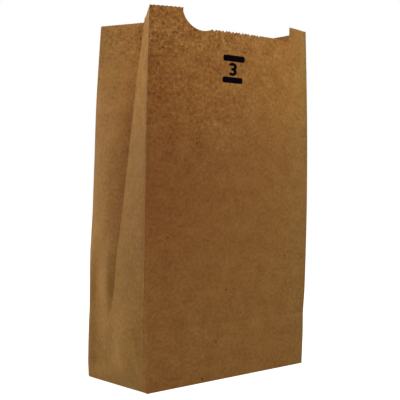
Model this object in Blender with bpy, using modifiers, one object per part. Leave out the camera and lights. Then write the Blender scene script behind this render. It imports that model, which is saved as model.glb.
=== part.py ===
"""A small brown paper lunch bag, standing open.

One kraft sheet is folded into a gusseted tube, glued along a seam down the
middle of the back, and closed by a square bottom of folded and glued flaps.
The printed front panel has a thumb notch, and the cut edges of the mouth are
sawtoothed.  Metres, +Z up, the front panel faces -Y, and the origin is on the
floor under the middle of the bag's bounding box.
"""

import math

import bmesh
import bpy
from mathutils import Vector

# Overall size of the bag: the width and the depth are those of the folded base.
bag_width = 0.1206
bag_depth = 0.0670
bag_height = 0.2175

# The sheet.
paper_thickness = 0.0001
paper_colour = (0.26, 0.13, 0.05, 1.0)
paper_roughness = 0.85

# The folded and glued bottom, and the seam down the back.
bottom_overlap = 0.0160
seam_width = 0.0110
fold_setback = 0.0005

# How the opened mouth stands.  The front and back panels bow outwards there,
# and the centre folds of the two sides are drawn in by unlike amounts.
front_bow = 0.0106
back_bow = 0.0095
bow_growth = 1.64
left_gusset_inset = 0.0142
right_gusset_inset = 0.0060
mouth_lean = 0.0043
right_belly = 0.0016

# The walls rise upright from the base for a short way.  Above that each side
# swells a little where its folds meet, and the fold across the front leaves a
# shallow valley that pinches the right-hand edge.
upright_skirt = 0.0015
base_swell = 0.0024
valley_depth = 0.0006
valley_reach = 0.0140
pinch_depth = 0.0006

# The mouth: the back half is cut lower than the front half.  The front panel
# has a straight-floored notch between two tabs.  At each tab the cut drops
# straight down, then runs in a hollow that dips a little under the floor.
back_drop = 0.0030
notch_depth = 0.0110
notch_tab_width = 0.0191
tab_side_drop = 0.0042
thumb_radius = 0.0127
thumb_dip = 0.0020
tooth_pitch = 0.0024
tooth_depth = 0.0007

# How finely the sheet is divided.
front_columns = 20
gusset_columns = 6
back_side_columns = 8
upper_rows = 16
thumb_arc_steps = 14

# How far the uncut tube passes the floor and the mouth before it is trimmed,
# and how far the trimming shapes reach past the paper.
trim_allowance = 0.0020
cutter_reach = 0.0200
corner_overhang = 0.0005
step_setback = 0.0004

half_depth = bag_depth / 2.0
flap_length = half_depth + bottom_overlap / 2.0


def share_of_height(height):
    """How far up the bag a height is, from 0 at the skirt to 1 at the mouth."""
    return max(height - upright_skirt, 0.0) / (bag_height - upright_skirt)


def share_of_fold(height):
    """How far up the lowest part a height is, from 0 at the skirt to 1 at the fold."""
    return max(height - upright_skirt, 0.0) / (half_depth - upright_skirt)


def bow_at(height, mouth_bow):
    """Outward bow of a panel, which grows from nothing at the base."""
    return mouth_bow * share_of_height(height) ** bow_growth


def inset_at(height, mouth_inset):
    """How far the centre fold of a side is drawn in, negative where it swells."""
    if height <= half_depth:
        return -base_swell * share_of_fold(height)
    rise = (height - half_depth) / (bag_height - half_depth)
    return -base_swell + (mouth_inset + base_swell) * rise


def half_opening(height, mouth_inset):
    """Depth of one half of a side, seen from above, once its centre is drawn in."""
    return math.sqrt(half_depth ** 2 - inset_at(height, mouth_inset) ** 2)


def along_bow(share, bow):
    """Place on a bowed panel of the bag's width: along its chord, and outwards."""
    flatness = (4.0 / 3.0) * (bow / bag_width) ** 2
    along = bag_width * (share - flatness * (1.0 - (1.0 - 2.0 * share) ** 3))
    outward = 4.0 * bow * share * (1.0 - share)
    return along, outward


def fold_closeness(height):
    """1 at the fold across the front, falling to 0 a little way above and below."""
    return max(0.0, 1.0 - abs(height - half_depth) / valley_reach)


def left_front_corner(height):
    chord = along_bow(1.0, bow_at(height, front_bow))[0]
    lean = mouth_lean * share_of_height(height)
    return Vector((lean - chord / 2.0, -half_depth, height))


def right_front_corner(height):
    chord = along_bow(1.0, bow_at(height, front_bow))[0]
    lean = mouth_lean * share_of_height(height)
    belly = right_belly * math.sin(math.pi * min(share_of_height(height), 1.0))
    belly -= pinch_depth * fold_closeness(height)
    return Vector((lean + chord / 2.0 + belly, -half_depth, height))


def left_back_corner(height):
    opening = 2.0 * half_opening(height, left_gusset_inset)
    return left_front_corner(height) + Vector((0.0, opening, 0.0))


def right_back_corner(height):
    opening = 2.0 * half_opening(height, right_gusset_inset)
    return right_front_corner(height) + Vector((0.0, opening, 0.0))


def front_point(share, height):
    """A point on the front panel, share 0 at its left edge and 1 at its right."""
    start = left_front_corner(height)
    end = right_front_corner(height)
    along, outward = along_bow(share, bow_at(height, front_bow))
    chord = along_bow(1.0, bow_at(height, front_bow))[0]
    outward -= valley_depth * fold_closeness(height) * math.sin(math.pi * share)
    return start + (end - start) * (along / chord) + Vector((0.0, -outward, 0.0))


def back_point(share, height):
    """A point on the back panel, share 0 at its right edge and 1 at its left."""
    start = right_back_corner(height)
    end = left_back_corner(height)
    along, outward = along_bow(share, bow_at(height, back_bow))
    chord = along_bow(1.0, bow_at(height, back_bow))[0]
    return start + (end - start) * (along / chord) + Vector((0.0, outward, 0.0))


def side_point(corner, inward, mouth_inset, share, height):
    """A point on a side, share 0 at its front edge, 1/2 at the centre fold, 1 behind.

    Under the fold the side is a flat triangle that stands on the base edge,
    between two diagonal folds that run to the corners of the base.
    """
    opening = 2.0 * half_opening(height, mouth_inset)
    across = 1.0 - abs(2.0 * share - 1.0)
    if height < half_depth:
        diagonal = share_of_fold(height)
        across = min(across / diagonal, 1.0) if diagonal > 0.0 else 0.0
    drawn_in = inset_at(height, mouth_inset) * across
    return corner + Vector((inward * drawn_in, opening * share, 0.0))


def right_side_point(share, height):
    return side_point(right_front_corner(height), -1.0, right_gusset_inset, share, height)


def left_side_point(share, height):
    return side_point(left_front_corner(height), 1.0, left_gusset_inset, 1.0 - share, height)


def seam_point(share, height):
    """A point on the back panel where the sheet's two edges overlap."""
    return back_point(share, height) + Vector((0.0, paper_thickness, 0.0))


def sheet_columns():
    """Every upright line of the sheet, as a panel and a share across it.

    The lines go round the bag from the left edge of the front panel.  Two
    close lines stand at each edge of the seam, where the overlap steps up.
    """
    seam_start = (1.0 - seam_width / bag_width) / 2.0
    seam_end = 1.0 - seam_start
    step = paper_thickness / bag_width
    halves = 2 * gusset_columns
    columns = [(front_point, i / front_columns) for i in range(front_columns)]
    columns += [(right_side_point, i / halves) for i in range(halves)]
    columns += [(back_point, seam_start * i / back_side_columns) for i in range(back_side_columns + 1)]
    columns += [(seam_point, seam_start + step), (seam_point, 0.5), (seam_point, seam_end - step)]
    columns += [(back_point, 1.0 - seam_start * i / back_side_columns)
                for i in range(back_side_columns, 0, -1)]
    columns += [(left_side_point, i / halves) for i in range(halves)]
    return columns


def sheet_heights():
    """The level lines of the sheet.  One of them is the fold across the front."""
    top = bag_height + trim_allowance
    lower = [upright_skirt + (half_depth - upright_skirt) * i / gusset_columns
             for i in range(gusset_columns)]
    upper = [half_depth + (top - half_depth) * i / upper_rows for i in range(upper_rows + 1)]
    return [-trim_allowance] + lower + upper


def middle_of_plan():
    """The middle of the finished sheet's outline seen from above."""
    heights = [min(height, bag_height) for height in sheet_heights()]
    points = [panel(share, height) for panel, share in sheet_columns() for height in heights]
    xs = [point.x for point in points]
    ys = [point.y for point in points]
    return Vector(((min(xs) + max(xs)) / 2.0, (min(ys) + max(ys)) / 2.0, 0.0))


plan_middle = middle_of_plan()


def new_collection(name):
    collection = bpy.data.collections.new(name)
    bpy.context.scene.collection.children.link(collection)
    return collection


def new_object(name, mesh, collection):
    item = bpy.data.objects.new(name, mesh)
    collection.objects.link(item)
    return item


def mesh_from(name, points, faces):
    """A mesh with its points measured from the middle of the plan."""
    mesh = bpy.data.meshes.new(name)
    mesh.from_pydata([point - plan_middle for point in points], [], faces)
    mesh.update()
    return mesh


def folds_upward(column, row):
    """Which way a cell's diagonal runs, so that it lies on the sides' diagonal folds."""
    panel, share = column
    rising = share < 0.5
    if panel is left_side_point or panel is right_side_point:
        return rising
    return row % 2 == 0


def tube_faces(columns, heights):
    """Two triangles for each cell of the closed tube, split along its folds."""
    count = len(columns)
    faces = []
    for row in range(len(heights) - 1):
        for index, column in enumerate(columns):
            following = (index + 1) % count
            a = row * count + index
            b = row * count + following
            c = (row + 1) * count + following
            d = (row + 1) * count + index
            if folds_upward(column, row):
                faces += [(a, b, c), (a, c, d)]
            else:
                faces += [(a, b, d), (b, c, d)]
    return faces


def tube_mesh():
    """The folded tube as an open surface, before it gets its thickness."""
    columns = sheet_columns()
    heights = sheet_heights()
    points = [panel(share, height) for height in heights for panel, share in columns]
    return mesh_from("folded_tube", points, tube_faces(columns, heights))


def thicken(item):
    """Give the sheet its thickness on the inner side, twice as much at the seam."""
    columns = sheet_columns()
    rows = len(item.data.vertices) // len(columns)
    doubled = [row * len(columns) + index for row in range(rows)
               for index, column in enumerate(columns) if column[0] is seam_point]
    layers = item.vertex_groups.new(name="layers")
    layers.add(range(len(item.data.vertices)), 0.5, "REPLACE")
    layers.add(doubled, 1.0, "REPLACE")
    solidify = item.modifiers.new("sheet_thickness", "SOLIDIFY")
    solidify.thickness = 2.0 * paper_thickness
    solidify.vertex_group = layers.name
    solidify.offset = -1.0
    solidify.use_even_offset = True
    solidify.use_rim = True


def combine(item, other, operation, name):
    """Join another shape to an item, or cut it away."""
    boolean = item.modifiers.new(name, "BOOLEAN")
    boolean.operation = operation
    boolean.solver = "EXACT"
    boolean.object = other


def prism(name, outline, direction, length, collection):
    """A closed solid made by pushing a flat outline along a direction."""
    mesh = mesh_from(name, outline, [tuple(range(len(outline)))])
    solid = bmesh.new()
    solid.from_mesh(mesh)
    pushed = bmesh.ops.extrude_face_region(solid, geom=solid.faces[:])
    moved = [part for part in pushed["geom"] if isinstance(part, bmesh.types.BMVert)]
    bmesh.ops.translate(solid, verts=moved, vec=direction * length)
    bmesh.ops.recalc_face_normals(solid, faces=solid.faces[:])
    solid.to_mesh(mesh)
    solid.free()
    item = new_object(name, mesh, collection)
    item.hide_render = True
    item.display_type = "WIRE"
    return item


def bottom_layer(name, outline, layer, collection):
    """One glued layer of the bottom, sunk half its thickness into the one below.

    The outline is measured from the left front corner of the base, and stops
    in the middle of the walls' thickness.  Layer 0 lies on the floor.
    """
    wall_middle = paper_thickness / 2.0
    underside = max(layer - 0.5, 0.0) * paper_thickness
    points = []
    for x, y in outline:
        x = min(max(x, wall_middle), bag_width - wall_middle)
        y = min(max(y, wall_middle), bag_depth - wall_middle)
        points.append(Vector((x - bag_width / 2.0, y - half_depth, underside)))
    rise = (layer + 1) * paper_thickness - underside
    return prism(name, points, Vector((0.0, 0.0, 1.0)), rise, collection)


def mirrored_side(outline):
    """The same outline at the other end of the base."""
    return [(bag_width - x, y) for x, y in outline]


def mirrored_back(outline):
    """The same outline at the back edge of the base."""
    return [(x, bag_depth - y) for x, y in outline]


def bottom_layers(collection):
    """The folded flaps of the bottom, as they lie on each other.

    The side flaps are folded in first, which turns the ends of the other two
    flaps under along diagonals.  The back flap is then folded in, and last the
    front flap, whose edge lies over the back flap along the middle.
    """
    near = fold_setback
    far = flap_length + fold_setback
    front_flap = [(near, 0.0), (bag_width - near, 0.0),
                  (bag_width - far, flap_length), (far, flap_length)]
    turn_in_depth = bag_depth - flap_length - fold_setback
    turn_in = [(2.0 * near, 0.0), (flap_length, 0.0),
               (flap_length, turn_in_depth), (2.0 * near + turn_in_depth, turn_in_depth)]
    side_reach = flap_length - fold_setback
    side_flap = [(0.0, 0.0), (side_reach, 0.0), (side_reach, bag_depth), (0.0, bag_depth)]
    shapes = [
        ("bottom_front_flap", front_flap, 0),
        ("bottom_back_flap", mirrored_back(front_flap), 1),
        ("front_turn_in_left", turn_in, 1),
        ("front_turn_in_right", mirrored_side(turn_in), 1),
        ("side_flap_left", side_flap, 2),
        ("side_flap_right", mirrored_side(side_flap), 2),
    ]
    return [bottom_layer(name, outline, layer, collection) for name, outline, layer in shapes]


def toothed_line(start, end):
    """Distances along a cut edge, each with its drop, for whole teeth of equal pitch."""
    teeth = max(1, round((end - start) / tooth_pitch))
    steps = []
    for i in range(2 * teeth + 1):
        drop = tooth_depth if i % 2 == 1 else 0.0
        steps.append((start + (end - start) * i / (2 * teeth), drop))
    return steps


def thumb_hollow():
    """The round hollow beside a tab, as distance from the tab and drop."""
    centre_drop = notch_depth + thumb_dip - thumb_radius
    centre_inset = math.sqrt(thumb_radius ** 2 - (tab_side_drop - centre_drop) ** 2)
    reach = math.sqrt(thumb_radius ** 2 - (notch_depth - centre_drop) ** 2)
    first = math.pi + math.acos(centre_inset / thumb_radius)
    last = 2.0 * math.pi - math.acos(reach / thumb_radius)
    hollow = []
    for i in range(thumb_arc_steps + 1):
        angle = first + (last - first) * i / thumb_arc_steps
        distance = centre_inset + thumb_radius * math.cos(angle)
        hollow.append((distance, centre_drop - thumb_radius * math.sin(angle)))
    return hollow


def front_edge_profile():
    """The cut edge of the front panel, as distance from its left edge and drop."""
    hollow = [(notch_tab_width + distance, drop) for distance, drop in thumb_hollow()]
    floor_start = hollow[-1][0]
    left = toothed_line(0.0, notch_tab_width)
    floor = [(distance, notch_depth + drop)
             for distance, drop in toothed_line(floor_start, bag_width - floor_start)]
    right_hollow = [(bag_width - distance, drop) for distance, drop in reversed(hollow)]
    right = toothed_line(bag_width - notch_tab_width, bag_width)
    return left + hollow[:-1] + floor + right_hollow[1:] + right


def outline_over(edge):
    """Close a cut edge into an outline that covers everything above it."""
    top = bag_height + 2.0 * trim_allowance
    first = Vector((edge[0].x, edge[0].y, top))
    last = Vector((edge[-1].x, edge[-1].y, top))
    return [first] + edge + [last]


def front_mouth_cutter(collection):
    """Cuts the sawtooth edge and the thumb notch into the front panel."""
    edge = []
    inner_end = -half_depth + corner_overhang
    for distance, drop in front_edge_profile():
        place = front_point(distance / bag_width, bag_height)
        edge.append(Vector((place.x, inner_end, bag_height - drop)))
    overhang = Vector((cutter_reach, 0.0, 0.0))
    outline = outline_over([edge[0] - overhang] + edge + [edge[-1] + overhang])
    return prism("front_mouth_cutter", outline, Vector((0.0, -1.0, 0.0)), cutter_reach, collection)


def back_mouth_cutter(collection):
    """Cuts the sawtooth edge of the back panel, lower than the front's."""
    edge = []
    nearest_corner = min(left_back_corner(bag_height).y, right_back_corner(bag_height).y)
    inner_end = nearest_corner - corner_overhang
    for distance, drop in toothed_line(0.0, bag_width):
        place = back_point(1.0 - distance / bag_width, bag_height)
        edge.append(Vector((place.x, inner_end, bag_height - back_drop - drop)))
    overhang = Vector((cutter_reach, 0.0, 0.0))
    outline = outline_over([edge[0] - overhang] + edge + [edge[-1] + overhang])
    return prism("back_mouth_cutter", outline, Vector((0.0, 1.0, 0.0)), cutter_reach, collection)


def side_mouth_cutter(name, corner, opening, side, half, drop, collection):
    """Cuts the sawtooth edge of one half of a side: half 0 in front, 1 behind.

    The cut runs a little past the corner of the bag.  Just behind the side's
    centre fold the edge steps down to the back half.
    """
    edge = []
    start = step_setback if half == 1 else 0.0
    for distance, tooth_drop in toothed_line(start, half_depth):
        y = corner.y + opening * (half + distance / half_depth)
        edge.append(Vector((0.0, y, bag_height - drop - tooth_drop)))
    overhang = Vector((0.0, corner_overhang, 0.0))
    if half == 0:
        edge = [edge[0] - overhang] + edge + [edge[-1] + 2.0 * overhang]
    else:
        edge = edge + [edge[-1] + overhang]
    outline = outline_over(edge)
    return prism(name, outline, Vector((side, 0.0, 0.0)), bag_width, collection)


def mouth_cutters(collection):
    """Every shape that is cut out of the mouth."""
    left = left_front_corner(bag_height)
    right = right_front_corner(bag_height)
    left_opening = half_opening(bag_height, left_gusset_inset)
    right_opening = half_opening(bag_height, right_gusset_inset)
    return [
        front_mouth_cutter(collection),
        side_mouth_cutter("left_front_cutter", left, left_opening, -1.0, 0, 0.0, collection),
        side_mouth_cutter("right_front_cutter", right, right_opening, 1.0, 0, 0.0, collection),
        side_mouth_cutter("left_back_cutter", left, left_opening, -1.0, 1, back_drop, collection),
        side_mouth_cutter("right_back_cutter", right, right_opening, 1.0, 1, back_drop, collection),
        back_mouth_cutter(collection),
    ]


def floor_cutter(collection):
    """Trims the tube flat along the floor."""
    reach = bag_width
    outline = [Vector((-reach, -reach, 0.0)), Vector((reach, -reach, 0.0)),
               Vector((reach, reach, 0.0)), Vector((-reach, reach, 0.0))]
    return prism("floor_cutter", outline, Vector((0.0, 0.0, -1.0)), 2.0 * trim_allowance, collection)


def kraft_paper():
    material = bpy.data.materials.new("kraft_paper")
    material.use_nodes = True
    shader = material.node_tree.nodes["Principled BSDF"]
    shader.inputs["Base Color"].default_value = paper_colour
    shader.inputs["Roughness"].default_value = paper_roughness
    shader.inputs["Metallic"].default_value = 0.0
    return material


def build():
    for item in list(bpy.data.objects):
        bpy.data.objects.remove(item, do_unlink=True)
    bag_parts = new_collection("paper_lunch_bag")
    cutters = new_collection("folds_and_cutters")

    bag = new_object("paper_bag", tube_mesh(), bag_parts)
    thicken(bag)
    combine(bag, floor_cutter(cutters), "DIFFERENCE", "floor_trim")
    for layer in bottom_layers(cutters):
        combine(bag, layer, "UNION", layer.name)
    for cutter in mouth_cutters(cutters):
        combine(bag, cutter, "DIFFERENCE", cutter.name)
    bag.data.materials.append(kraft_paper())


build()
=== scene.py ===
"""Looks of the brown paper lunch bag.

The bag is one sheet of kraft paper.  It is laid out flat here, with its cut
edges, its glue seam and its bottom flaps, and a Geometry Nodes tree folds it
into the standing bag by the same rule as the CAD part.  The printed mark is
folded through the same tree, a hair above the paper.
"""

import math
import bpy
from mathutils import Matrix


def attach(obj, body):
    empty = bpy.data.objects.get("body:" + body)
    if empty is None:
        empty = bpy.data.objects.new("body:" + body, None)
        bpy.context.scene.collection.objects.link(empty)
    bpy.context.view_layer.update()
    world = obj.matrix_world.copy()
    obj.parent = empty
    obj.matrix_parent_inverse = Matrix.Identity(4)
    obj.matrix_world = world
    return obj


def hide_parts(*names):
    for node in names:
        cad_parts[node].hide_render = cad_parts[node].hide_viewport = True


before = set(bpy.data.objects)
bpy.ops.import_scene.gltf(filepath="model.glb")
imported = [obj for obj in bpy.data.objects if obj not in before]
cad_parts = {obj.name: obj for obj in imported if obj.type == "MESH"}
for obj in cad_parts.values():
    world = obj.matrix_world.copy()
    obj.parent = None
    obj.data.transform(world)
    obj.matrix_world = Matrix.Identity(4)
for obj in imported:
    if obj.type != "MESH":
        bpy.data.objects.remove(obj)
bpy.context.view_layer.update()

from types import SimpleNamespace

import bpy
from mathutils import Vector

MM = 0.001

# Sizes of the bag, as in the CAD part.
bag_width = 120.6 * MM
bag_depth = 67.0 * MM
bag_height = 217.5 * MM
paper_thickness = 0.1 * MM
layer_pitch = 0.11 * MM
bottom_overlap = 16.0 * MM
seam_width = 11.0 * MM
back_drop = 3.0 * MM
notch_depth = 11.0 * MM
notch_tab_width = 19.1 * MM
tab_side_drop = 4.2 * MM
thumb_radius = 12.7 * MM
thumb_dip = 2.0 * MM
tooth_pitch = 2.4 * MM
tooth_depth = 0.7 * MM
step_setback = 0.4 * MM
plan_middle = (1.081 * MM, -2.269 * MM)

# How the handled edge differs from the clean cut of the CAD part.
left_climb = 0.8 * MM
left_hollow_lift = 1.7 * MM
floor_lift_left = 0.15 * MM
floor_lift_right = 0.75 * MM
right_corner_radius = 3.6 * MM
right_corner_dip = 0.6 * MM
right_tab_extra = 1.3 * MM
right_tab_drop = 1.05 * MM
right_tab_climb = 0.55 * MM

# How much of a tooth's length is left where the cut is worn.
left_tab_teeth = 0.6
right_tab_teeth = 0.3
side_teeth = 0.5
floor_teeth = 1.15
floor_teeth_swing = 0.55
floor_swing_pitch = 6.5 * MM
longest_tooth_at = 39.0 * MM
smoother_from = 71.0 * MM
smoother_over = 8.0 * MM
smoothed_off = 0.8

half_depth = bag_depth / 2
side_start = bag_width
back_start = bag_width + bag_depth
left_start = 2 * bag_width + bag_depth
bag_round = 2 * (bag_width + bag_depth)
corner_folds = (0.0, side_start, back_start, left_start)
centre_folds = (side_start + half_depth, left_start + half_depth)
flap_length = half_depth + bottom_overlap / 2
sheet_start = -(bag_depth + (bag_width + seam_width) / 2)
sheet_end = bag_width + bag_depth + (bag_width + seam_width) / 2
seam_edge = sheet_end - seam_width
sheet_span = 0.4

# How finely the flat sheet is divided.
cut_step = 0.02 * MM
least_gap = 0.9 * cut_step
fold_line_gap = 0.3 * MM
clear_of_fold = (0.05 * MM, 0.55 * MM)
crease_line_gap = 0.6 * MM
seam_ramp = 0.6 * MM
foot_rises = [0.0, 0.35 * MM, 0.9 * MM, 1.5 * MM, 2.5 * MM, 3.8 * MM, 5.2 * MM]
rise_step = 2.35 * MM
last_level_rise = 150.0 * MM
rows_up_to_cut = 28
first_flap_row = 0.5 * MM
flap_rows = 16
layer_of_panel = (0.0, 3.0, 2.0, 3.0)
flap_gap = 1e-7
tiny = 1e-9

# Named sizes of the folding tree, with their values.
fold_sizes = {
    "Bag Width": bag_width,
    "Bag Depth": bag_depth,
    "Bag Height": bag_height,
    "Upright Skirt": 1.5 * MM,
    "Front Bow": 10.6 * MM,
    "Back Bow": 9.5 * MM,
    "Bow Growth": 1.64,
    "Left Gusset Inset": 14.2 * MM,
    "Right Gusset Inset": 6.0 * MM,
    "Apex Pull": 1.5 * MM,
    "Gusset Curl": 0.4,
    "Back Half Bulge": 2.9 * MM,
    "Front Half Bulge": 0.9 * MM,
    "Right Side Bulge": 1.2 * MM,
    "Mouth Lean": 4.3 * MM,
    "Right Belly": 2.4 * MM,
    "Base Swell": 2.4 * MM,
    "Pinch Depth": 0.6 * MM,
    "Valley Depth": 0.6 * MM,
    "Valley Reach": 14.0 * MM,
    "Fold Radius": 0.6 * MM,
    "Corner Tuck": 3.2 * MM,
    "Foot Turn": 0.165,
    "Foot Bulge": 5.8 * MM,
    "Side Dent": 2.3 * MM,
    "Side Crest": 2.5 * MM,
    "Left Edge Roll": 0.65 * MM,
    "Left Back Settle X": -2.6 * MM,
    "Left Back Settle Y": -5.4 * MM,
    "Left Back Waist": 0.55 * MM,
    "Near Corner Settle X": -2.5 * MM,
    "Near Corner Settle Y": -3.9 * MM,
    "Right Corner Settle X": 2.9 * MM,
    "Right Corner Settle Y": 3.3 * MM,
    "Fold Mark": 0.05 * MM,
    "Layer Pitch": layer_pitch,
    "Wrinkle Depth": 0.30 * MM,
    "Lift": 0.0,
    "Seed": 4.0,
}

# Where the folding rule's shapes begin and end, as shares of the wall above its level fold.
apex_pull_band = (0.0, 0.06, 0.09, 0.24)
bulge_start = 0.07
bulge_fades = (0.45, 0.90)
curl_start = 0.10
ridge_start = 0.16
ridge_spreads = (0.12, 0.30)
ridge_shift_ends = 0.35

# The same as shares of the way up the whole bag, and as heights in metres.
settling_ends = 0.46
edge_roll_grows = (0.35, 0.80)
waist_band = (0.065, 0.105, 0.130, 0.170)
fold_mark_reach = 0.0009
foot_turn_height = 0.110
relief_start = 0.012
dent_narrows = (0.022, 0.050)
dent_ends = (0.060, 0.090)
crest_ends = (0.030, 0.050)

# The same as shares of the way across a panel, and how strongly and how softly they act.
edge_roll_reach = 0.13
fold_kink_place = (0.90, 0.99)
fold_kink_growth = 8.0
ridge_place = 0.95
ridge_shift = 0.70
ridge_softness = 0.01
front_half_lean = 1.6
least_foot_turn = 0.004
foot_softness = 0.04
dent_place = 0.26
dent_shift = 0.07
dent_reach_behind = 0.62
dent_reach_before = 0.36
dent_narrowing = 0.11
dent_shallowing = 0.15
crest_place = 0.76
crest_reach = 0.24

# A shallow bow of depth b shortens each half of a panel by 4/3 of (b / width) squared.
bow_shortening = 4.0 / 3.0

# The fold lines are rounded over this share of their radius.
fold_rounding = 0.8

# The least number that a share is divided by, and the least place round the bag.
least_share = 1e-4
least_place = 1e-8

# How far the tuck of the left side's foot runs: along the side and the front, up, and underneath.
tuck_along_side = 0.054
tuck_along_front = 0.005
tuck_height_grows = (0.0, 0.25)
tuck_heights = (0.008, 0.042)
tuck_under = 0.010

# Soft wrinkles: drawn out along the height, calmer low down, and none at the base and the folds.
wrinkle_squeeze = 0.6
broad_share = 3.0
small_share = 1.2
wrinkles_start = (0.004, 0.020)
wrinkles_grow = (0.100, 0.200)
low_wrinkles = 0.45
wrinkles_off_folds = 0.010


# Node wiring.

def operation(kind):
    """A method that puts a number, and others if there are any, through a Math node."""
    def method(self, *others):
        return self.math(kind, *others)
    return method


class Wire:
    """A value that travels through a node tree; sums and products of it add Math nodes."""

    def __init__(self, socket):
        self.socket = socket
        self.tree = socket.id_data

    def math(self, kind, *others, clamp=False):
        node = added(self.tree, "ShaderNodeMath", self, *others, operation=kind, use_clamp=clamp)
        return Wire(node.outputs[0])

    __add__ = __radd__ = operation("ADD")
    __sub__ = operation("SUBTRACT")
    __mul__ = __rmul__ = operation("MULTIPLY")
    __truediv__ = operation("DIVIDE")
    __pow__ = operation("POWER")
    least = operation("MINIMUM")
    most = operation("MAXIMUM")
    above = operation("GREATER_THAN")
    size = operation("ABSOLUTE")
    sine = operation("SINE")
    root = operation("SQRT")

    def __rsub__(self, other):
        return self * -1.0 + other

    def held(self):
        """Kept between 0 and 1."""
        return self.math("ADD", 0.0, clamp=True)

    def closeness(self, place, reach):
        """1 at a place, falling evenly to 0 at a reach on either side of it."""
        return (1.0 - (self - place).size() / reach).most(0.0)

    def eased(self, low, high, start=0.0, end=1.0):
        """Runs smoothly from start to end as this number goes from low to high."""
        node = added(self.tree, "ShaderNodeMapRange", self, low, high, start, end,
                     interpolation_type="SMOOTHSTEP")
        return Wire(node.outputs[0])

    def fading(self, low, high):
        """Runs smoothly from 1 to 0 as this number goes from low to high."""
        return self.eased(low, high, 1.0, 0.0)

    def band(self, first, full, leaving, last):
        """Grows from 0 to 1 between the first two places and fades again between the last two."""
        return self.eased(first, full) * self.fading(leaving, last)


def added(tree, kind, *values, **settings):
    """A new node of a kind, with its settings and with values for its inputs in their order."""
    node = tree.nodes.new(kind)
    for name, value in settings.items():
        setattr(node, name, value)
    for socket, value in zip((socket for socket in node.inputs if socket.enabled), values):
        feed(socket, value)
    return node


def feed(socket, value):
    """Give an input a wire or a plain value."""
    if isinstance(value, Wire):
        value.tree.links.new(value.socket, socket)
    else:
        socket.default_value = value


def softened_least(first, second, softness):
    """The smaller of two numbers, with the change from one to the other rounded."""
    apart = first - second
    return (first + second - (apart * apart + softness).root()) * 0.5


def choose(pick, yes, no):
    """yes where pick is 1, no where it is 0."""
    return no + (yes - no) * pick


def vector(x, y, z=0.0):
    return Wire(added(x.tree, "ShaderNodeCombineXYZ", x, y, z).outputs[0])


def parts_of(vector_wire):
    return [Wire(part) for part in added(vector_wire.tree, "ShaderNodeSeparateXYZ", vector_wire).outputs]


def noise(place, scale, detail=2.0, roughness=0.5, stretch=0.0):
    """Cloudy noise at a place, as a number from 0 to 1."""
    node = added(place.tree, "ShaderNodeTexNoise", noise_dimensions="3D")
    for name, value in (("Vector", place), ("Scale", scale), ("Detail", detail),
                        ("Roughness", roughness), ("Distortion", stretch)):
        feed(node.inputs[name], value)
    return Wire(node.outputs[0])


def placed(name, data):
    """A new object in the scene."""
    item = bpy.data.objects.new(name, data)
    bpy.context.scene.collection.objects.link(item)
    return item


# The flat sheet.

def arc(centre, radii, first, last, steps):
    """Points of an ellipse from one angle to another, in degrees."""
    angles = [math.radians(first + (last - first) * i / steps) for i in range(steps + 1)]
    return [(centre[0] + radii[0] * math.cos(t), centre[1] + radii[1] * math.sin(t)) for t in angles]


def toothed(start, end, left_of_tooth=1.0):
    """The sawtooth of a straight cut, as places along it with their drops."""
    teeth = max(1, round((end - start) / tooth_pitch))
    return [(start + (end - start) * i / (2 * teeth), tooth_depth * left_of_tooth * (i % 2))
            for i in range(2 * teeth + 1)]


def worn_tooth(place):
    """How much of a tooth's length is left on the notch's floor: uneven, and less to the right."""
    turn = 2.0 * math.pi * (place - longest_tooth_at) / floor_swing_pitch
    smoother = min(max((place - smoother_from) / smoother_over, 0.0), 1.0)
    return (floor_teeth + floor_teeth_swing * math.cos(turn)) * (1.0 - smoothed_off * smoother)


def lifted(edge, first_lift, last_lift):
    """A stretch of edge raised by an amount that changes evenly along it."""
    start, end = edge[0][0], edge[-1][0]
    return [(place, drop - first_lift - (last_lift - first_lift) * (place - start) / (end - start))
            for place, drop in edge]


def thumb_hollow(start, steps=14):
    """The round hollow beside the left tab of the thumb notch."""
    centre_drop = notch_depth + thumb_dip - thumb_radius
    inset = math.sqrt(thumb_radius ** 2 - (tab_side_drop - centre_drop) ** 2)
    first = 180.0 + math.degrees(math.acos(inset / thumb_radius))
    last = 360.0 - math.degrees(math.asin((notch_depth - centre_drop) / thumb_radius))
    return arc((start + inset, centre_drop), (thumb_radius, -thumb_radius), first, last, steps)


def tight_hollow(start, end, steps=8):
    """The right hollow, which the bowed mouth pulls flat along its floor and tight to its tab."""
    level = notch_depth - floor_lift_right
    centre = end - right_corner_radius
    shares = [i / steps for i in range(1, steps)]
    flat = [(start + (centre - start) * share, level + right_corner_dip * share ** 3) for share in shares]
    centre_drop = level + right_corner_dip - right_corner_radius
    return flat + arc((centre, centre_drop), (right_corner_radius, right_corner_radius), 90.0, 0.0, steps)


def front_cut():
    """The front panel's cut edge: tab, round hollow, floor, tight hollow, tab."""
    left = toothed(0.0, notch_tab_width, left_tab_teeth)
    hollow = lifted(thumb_hollow(notch_tab_width), left_hollow_lift, floor_lift_left)
    floor_start = hollow[-1][0]
    floor_end = bag_width - floor_start
    floor = [(place, notch_depth + drop * worn_tooth(place))
             for place, drop in toothed(floor_start, floor_end)]
    floor = lifted(floor, floor_lift_left, floor_lift_right)
    tab_start = bag_width - notch_tab_width - right_tab_extra
    right = toothed(tab_start, bag_width, right_tab_teeth)
    right = lifted(right, -right_tab_drop, right_tab_climb - right_tab_drop)
    left[-1] = (left[-1][0] - cut_step, left[-1][1])
    right[0] = (right[0][0] + cut_step, right[0][1])
    return left + hollow[:-1] + floor + tight_hollow(floor_end, tab_start) + right


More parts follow.
